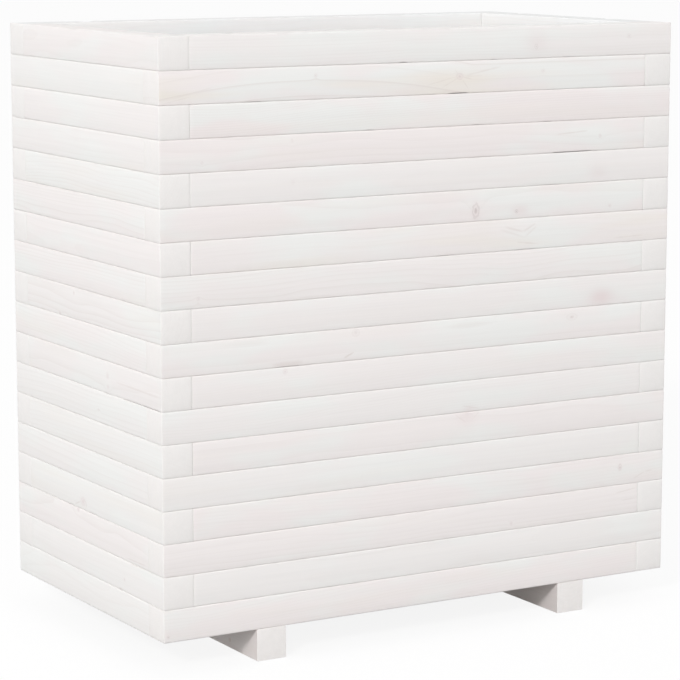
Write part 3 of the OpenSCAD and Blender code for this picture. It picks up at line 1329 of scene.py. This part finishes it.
@dataclass
class Walls:
    """The four walls, bar by bar."""

    size: PlanterSize
    timber: Timber
    chance: random.Random = field(default_factory=lambda: random.Random(18))
    knots_unseen: float = 0.6

    def build(self) -> None:
        """Build and dress every bar."""
        masters = {
            wall: BarMaker(self.size.wall_length(wall) - self.size.bar, self.size.bar).shape(name)
            for wall, name in ((Wall.FRONT, "long_master"), (Wall.LEFT, "short_master"))
        }
        for course in range(1, self.size.courses + 1):
            for wall in Wall:
                bar = WallBar(wall, course, self.size)
                master = masters[Wall.FRONT if wall.is_long else Wall.LEFT]
                piece = bar.build(master, WANES[wall].get(course, ()), self.chance)
                wood = WHITEWASHED_PINE if wall in KNOTS else COOL_WASHED_PINE
                material = self.timber.material(bar.name, wood, self._grain(bar), bar.lay())
                dress(piece, material)
                LOG.info("%s: built", bar.name)
        for master in masters.values():
            bpy.data.objects.remove(master)

    def _grain(self, bar: WallBar) -> Grain:
        """Pick a bar's grain.

        Args:
            bar: The bar.

        Returns:
            The grain.
        """
        wall, place = bar.wall, (bar.wall, bar.course)
        if place == ARCHED_BAR:
            return ARCHED_GRAIN
        knots = KNOTS[wall].get(bar.course, ()) if wall in KNOTS else self._some_knots(bar)
        streaks = STREAKS.get(wall, {}).get(bar.course, ())
        length = self.size.wall_length(wall)
        grain = Grain.at_random(self.chance, length, PINKNESS[wall], knots=knots, streaks=streaks)
        return replace(grain, wander=CALM_BARS.get(place, grain.wander),
                       warmth=WARM_BARS.get(place, grain.warmth))

    def _some_knots(self, bar: WallBar) -> tuple[Knot, ...]:
        """Pick the knots of a bar that the front and left views don't show.

        Args:
            bar: The bar.

        Returns:
            Its knots.
        """
        most = 2 if bar.wall.is_long else 1
        number = sum(self.chance.random() < self.knots_unseen for _ in range(most))
        clear, margin = 20.0, 5.0  # millimetres to the bar's ends and to its upper and lower side
        along = (bar.run[0] / MM + clear, bar.run[1] / MM - clear)
        up = (margin, self.size.bar / MM - margin)
        return tuple(Knot.at_random(self.chance, along, up, *UNSEEN_KNOT) for _ in range(number))


# ---- Feet, posts, floor and fasteners ----


class GrainWay(Enum):
    """Which axis a piece's grain runs along, how its block is turned, and its section's axes."""

    TO_RIGHT = (0, (0.0, 0.0, 0.0), (1, 2))
    TO_BACK = (1, (0.0, 0.0, math.pi / 2), (0, 2))
    UPWARD = (2, (0.0, -math.pi / 2, 0.0), (1, 0))


@dataclass
class Inside:
    """The posts, floor boards, feet and dowels, which keep their CAD shapes and get a finish."""

    timber: Timber
    chance: random.Random = field(default_factory=lambda: random.Random(7))

    def dress_all(self) -> None:
        """Dress every piece of timber that isn't a wall bar."""
        for name in sorted(frame["nodes"]):
            if name.endswith("_post"):
                self._dress(name, THIN_WASHED_PINE, GrainWay.UPWARD)
            elif name.startswith("floor_board_"):
                self._dress(name, THIN_WASHED_PINE, GrainWay.TO_RIGHT)
            elif name.endswith("_foot"):
                self._dress(name, FOOT_PINE, GrainWay.TO_BACK)
            elif name == "rim_dowels":
                self._dress(name, PLAIN_BEECH, GrainWay.UPWARD)

    def _dress(self, name: str, wood: PineFinish, way: GrainWay) -> None:
        """Dress one CAD node.

        Args:
            name: The node.
            wood: Its finish.
            way: Which way its grain runs.
        """
        low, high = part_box(name)
        size = high - low
        axis, turn, others = way.value
        corner = Vector((high.x if axis else low.x, low.y, low.z))
        length, section = size[axis], tuple(size[other] for other in others)
        along, up = (
            tuple(share * whole / MM for share in shares)
            for shares, whole in ((INNER_ALONG, length), (INNER_UP, section[1]))
        )
        number = self.chance.randint(0, 2)
        knots = tuple(Knot.at_random(self.chance, along, up, *INNER_KNOT) for _ in range(number))
        grain = Grain.at_random(self.chance, length, INNER_PINKNESS, knots=knots)
        lay = Lay(corner, turn, (0.0, length), section)
        dress(frame["nodes"][name], self.timber.material(name, wood, grain, lay))
        LOG.info("%s: dressed", name)


@dataclass(frozen=True)
class ScrewMaker:
    """Shapes a screw that points down -Z from the middle of its head's top, which is at the origin.

    A cup height of 0 makes a countersunk head. The rows are rings of vertices to a turn of the
    thread, and the recess and its lobes are measured as shares of the head.
    """

    shank: float
    head: float
    length: float
    cup: float = 0.0
    sides: int = 24
    pitch: float = 2.4 * MM
    rows: int = 4
    threaded: float = 26.4 * MM
    root_share: float = 0.72
    tip_share: float = 0.1
    lip: float = 0.2 * MM
    cup_lip: float = 1.2 * MM
    cup_round: float = 0.4 * MM
    lobes: int = 6
    lobe_reach: float = 0.27
    lobe_gap: float = 0.78
    lobe_cut: float = -0.1
    recess_depth: float = 0.22
    recess_draft: float = 0.86

    @property
    def rim(self) -> float:
        """The radius of the head's flat top."""
        return self.head / 2 - (self.cup_lip if self.cup else self.lip)

    def shape(self, name: str) -> Piece:
        """Shape the screw.

        Args:
            name: The object's name.

        Returns:
            The screw.
        """
        bpy.ops.object.select_all(action="DESELECT")
        bpy.ops.mesh.primitive_circle_add(vertices=self.sides, radius=self.rim, fill_type="NGON")
        piece = bpy.context.object
        piece.name = piece.data.name = name
        with EditSession(piece) as edit:
            bpy.ops.mesh.select_all(action="SELECT")
            neck = self._shape_head(edit)
            self._shape_shank(edit, neck)
            self._sink_drive(edit)
            bpy.ops.mesh.select_all(action="SELECT")
            bpy.ops.mesh.normals_make_consistent(inside=False)
        smooth(piece)
        return piece

    def _shape_head(self, edit: EditSession) -> float:
        """Draw the head down from its rim.

        Args:
            edit: The screw in edit mode, with its last ring selected.

        Returns:
            How far down the head ends.
        """
        neck = self.shank / 2 * self.root_share
        if self.cup:
            half, wide = self.cup_round, self.head / 2
            edit.draw_out(-half, (wide - half) / self.rim)
            edit.draw_out(-2 * half, wide / (wide - half))
            edit.draw_out(3 * half - self.cup, 1.0)
            edit.draw_out(0.0, neck / wide)
            return self.cup
        cone = (self.head - self.shank) / 2
        edit.draw_out(-self.lip, 1.0)
        edit.draw_out(self.lip - cone, neck / self.rim)
        return cone

    def _shape_shank(self, edit: EditSession, neck: float) -> None:
        """Draw the shank down to its point and raise the thread on it.

        Args:
            edit: The screw in edit mode, with its last ring selected.
            neck: How far down the shank starts.
        """
        point = self.shank
        start = self.length - point - self.threaded
        edit.draw_out(neck - start, 1.0)
        for _ in range(round(self.threaded / self.pitch) * self.rows):
            edit.draw_out(-self.pitch / self.rows, 1.0)
        edit.draw_out(-point, self.tip_share)
        edit.pick("VERT", lambda place: self._on_crest(place, -place.z - start))
        crest = 1 / self.root_share
        bpy.ops.transform.resize(value=(crest, crest, 1), center_override=(0, 0, 0))

    def _on_crest(self, place: Vector, down: float) -> bool:
        """Return whether a vertex lies on the thread's crest.

        Args:
            place: The vertex's place.
            down: How far it is below the thread's start.

        Returns:
            Whether it does.
        """
        if not TINY < down < self.threaded - TINY:
            return False
        turn = math.atan2(place.y, place.x) / (2 * math.pi)
        hair = 0.01  # of a turn, which keeps the test off the vertices themselves
        return (down / self.pitch + turn + hair) % 1 < 1 / self.rows

    def _sink_drive(self, edit: EditSession) -> None:
        """Sink the star-shaped drive recess into the head.

        Args:
            edit: The screw in edit mode.
        """
        reach = self.head * self.lobe_reach
        margin = reach / 20
        edit.pick("VERT", lambda place: place.z > -TINY)
        bpy.ops.mesh.inset(thickness=self.rim - reach, depth=0)

        def in_star(place: Vector) -> bool:
            """Return whether a vertex is one of the recess."""
            return place.z > -TINY and place.xy.length < reach + margin

        edit.pick("VERT", lambda place: in_star(place) and self._between_lobes(place))
        gap = self.lobe_gap
        bpy.ops.transform.resize(value=(gap, gap, 1), center_override=(0, 0, 0))
        edit.pick("VERT", in_star)
        edit.draw_out(-self.head * self.recess_depth, self.recess_draft)

    def _between_lobes(self, place: Vector) -> bool:
        """Return whether a vertex lies between two lobes of the recess's star."""
        return math.cos(self.lobes * math.atan2(place.y, place.x)) < self.lobe_cut


WALL_SCREW = ScrewMaker(shank=4.5 * MM, head=9 * MM, length=60 * MM)
FLOOR_SCREW = ScrewMaker(shank=4 * MM, head=8 * MM, length=42 * MM, pitch=2.2 * MM)
FOOT_SCREW = ScrewMaker(shank=6 * MM, head=13 * MM, length=57 * MM, cup=4 * MM, pitch=2.6 * MM,
                        threaded=26 * MM)
FEET = ("left_foot", "right_foot")


@dataclass
class Fasteners:
    """The screws, modelled once for each kind and copied to their places."""

    size: PlanterSize
    chance: random.Random = field(default_factory=lambda: random.Random(4))

    def build(self) -> None:
        """Build and dress every screw."""
        steel = SCREW_STEEL.material()
        for post in sorted(name for name in frame["nodes"] if name.endswith("_post")):
            self._build_node(f"{post}_screws", WALL_SCREW, self._wall_spots(post), steel)
        self._build_node("floor_screws", FLOOR_SCREW, self._floor_spots(), steel)
        self._build_node("foot_screws", FOOT_SCREW, self._foot_spots(), steel)

    def _build_node(self, node: str, maker: ScrewMaker, spots: list[Spot],
                    steel: bpy.types.Material) -> None:
        """Build the screws of one node as one piece.

        Args:
            node: The CAD node.
            maker: The kind of screw.
            spots: Where the screws go.
            steel: The material.
        """
        master = maker.shape("screw_master")
        screws = []
        for place, way in spots:
            lean = (-way).to_track_quat("Z", "Y").to_matrix().to_4x4()
            spin = Matrix.Rotation(self.chance.uniform(0, 2 * math.pi), 4, "Z")
            screws.append(copy_of(master, "screw", Matrix.Translation(place) @ lean @ spin))
        bpy.data.objects.remove(master)
        select_only(screws[0])
        for screw in screws:
            screw.select_set(True)
        bpy.ops.object.join()
        piece = bpy.context.object
        piece.name = piece.data.name = f"threaded_{node}"
        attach(piece, BODY)
        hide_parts(node)
        dress(piece, steel)
        LOG.info("%s: %d screws", piece.name, len(spots))

    def _wall_spots(self, post: str) -> list[Spot]:
        """Return the spots of the screws through a post, one into each course's butted bar.

        Args:
            post: The post's node.

        Returns:
            The spots.
        """
        low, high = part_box(post)
        middle = (low + high) / 2
        out_x, out_y = math.copysign(1, middle.x), math.copysign(1, middle.y)
        spots = []
        for course in range(2, self.size.courses + 1):
            odd = course % 2 == 1
            up = self.size.course_z(course) + self.size.bar / 2
            way = Vector((0, out_y, 0)) if (out_x == out_y) == odd else Vector((out_x, 0, 0))
            head = Vector((middle.x, middle.y, up)) - way * (high.x - low.x) / 2
            spots.append((head, way))
        return spots

    def _floor_spots(self) -> list[Spot]:
        """Return the spots of the screws down through the floor boards into the feet.

        Returns:
            The spots.
        """
        boards = sorted(name for name in frame["nodes"] if name.startswith("floor_board_"))
        return [
            (Vector((self._foot_x(foot), low.y + share * (high.y - low.y), high.z)), DOWN)
            for low, high in map(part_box, boards) for foot in FEET for share in (0.25, 0.75)
        ]

    def _foot_spots(self) -> list[Spot]:
        """Return the spots of the screws up through the feet into the lowest wall bars.

        Returns:
            The spots.
        """
        head_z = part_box("foot_screws")[0].z
        reach = (self.size.depth - self.size.bar) / 2
        return [
            (Vector((self._foot_x(foot), y, head_z)), Z_AXIS)
            for foot in FEET for y in (-reach, reach)
        ]

    def _foot_x(self, foot: str) -> float:
        """Return the X of a foot's middle."""
        low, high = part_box(foot)
        return (low.x + high.x) / 2


# ---- Studio ----


@dataclass
class Studio:
    """The camera, the lamp, the white world and the floor."""

    camera_place: tuple[float, float, float] = (-1.677, -2.846, 0.865)
    camera_turn: float = math.radians(30.486)
    camera_drop: float = math.radians(9.202)
    lens: float = 142.57
    lamp_way: tuple[float, float, float] = (-1.4, -1.13, 1.0)
    lamp_far: float = 15.0
    lamp_wide: float = 2.5
    lamp_level: float = 0.445
    sky_low: float = 1.72
    sky_high: float = 0.33
    floor_grey: float = 0.3
    floor_half: float = 60.0
    white_share: float = 0.88

    def build(self) -> None:
        """Set up everything round the planter."""
        self._camera()
        self._lamp()
        self._world()
        self._floor()
        bpy.context.scene.view_settings.view_transform = "Standard"

    def _camera(self) -> None:
        """Put the camera where the photograph was taken."""
        data = bpy.data.cameras.new("camera")
        data.lens = self.lens
        camera = bpy.data.objects.new("camera", data)
        camera.location = self.camera_place
        camera.rotation_euler = (math.pi / 2 - self.camera_drop, 0, -self.camera_turn)
        bpy.context.scene.collection.objects.link(camera)
        bpy.context.scene.camera = camera

    def _lamp(self) -> None:
        """Hang the soft lamp up on the left, in front of the planter."""
        way = Vector(self.lamp_way).normalized()
        data = bpy.data.lights.new("softbox", "AREA")
        data.shape = "DISK"
        data.size = self.lamp_wide
        data.energy = self.lamp_level * (math.pi * self.lamp_far) ** 2
        lamp = bpy.data.objects.new("softbox", data)
        lamp.location = (CAD_BOX[0] + CAD_BOX[1]) / 2 + way * self.lamp_far
        lamp.rotation_euler = way.to_track_quat("Z", "Y").to_euler()
        bpy.context.scene.collection.objects.link(lamp)

    def _seen(self, sketch: NodeSketch) -> Socket:
        """Tell what is seen from what is lit.

        Args:
            sketch: The tree.

        Returns:
            1 for a ray from the camera, by a reflection or through glass, and 0 for others.
        """
        path = sketch.add("ShaderNodeLightPath").outputs
        shiny = sketch.math("MAXIMUM", path["Is Glossy Ray"], path["Is Transmission Ray"])
        return sketch.math("MAXIMUM", path["Is Camera Ray"], shiny)

    def _world(self) -> None:
        """Light the planter softly from all round, before a white background."""
        world = bpy.data.worlds.new("studio")
        world.use_nodes = True
        world.node_tree.nodes.clear()
        sketch = NodeSketch(world.node_tree)
        _, _, up = sketch.split(sketch.add("ShaderNodeTexCoord").outputs["Generated"])
        level = sketch.ease(up, 0.0, 1.0, self.sky_low, self.sky_high)
        shown = sketch.blend(self._seen(sketch), sketch.join(level, level, level), WHITE)
        light = sketch.add("ShaderNodeBackground", shown).outputs[0]
        sketch.add("ShaderNodeOutputWorld", light)
        bpy.context.scene.world = world

    def _floor(self) -> None:
        """Lay the pale floor, which shows white and keeps a soft shadow."""
        material, sketch = new_material("floor")
        seen = self._seen(sketch)
        colour = sketch.blend(seen, (self.floor_grey,) * 3 + (1.0,), WHITE)
        matt = sketch.add("ShaderNodeBsdfDiffuse", colour).outputs[0]
        white = sketch.add("ShaderNodeEmission").outputs[0]
        share = sketch.math("MULTIPLY", seen, self.white_share)
        mix = sketch.add("ShaderNodeMixShader", share, matt, white).outputs[0]
        sketch.add("ShaderNodeOutputMaterial", mix)
        bpy.ops.object.select_all(action="DESELECT")
        bpy.ops.mesh.primitive_plane_add(size=2 * self.floor_half)
        floor = bpy.context.object
        floor.name = floor.data.name = "floor"
        floor.data.materials.append(material)


def main() -> None:
    """Build the planter and the studio round it."""
    logging.basicConfig(level=logging.INFO, format="%(message)s")
    size = PlanterSize.from_frame()
    timber = Timber()
    Walls(size, timber).build()
    Inside(timber).dress_all()
    Fasteners(size).build()
    Studio().build()


if __name__ == "__main__":
    main()
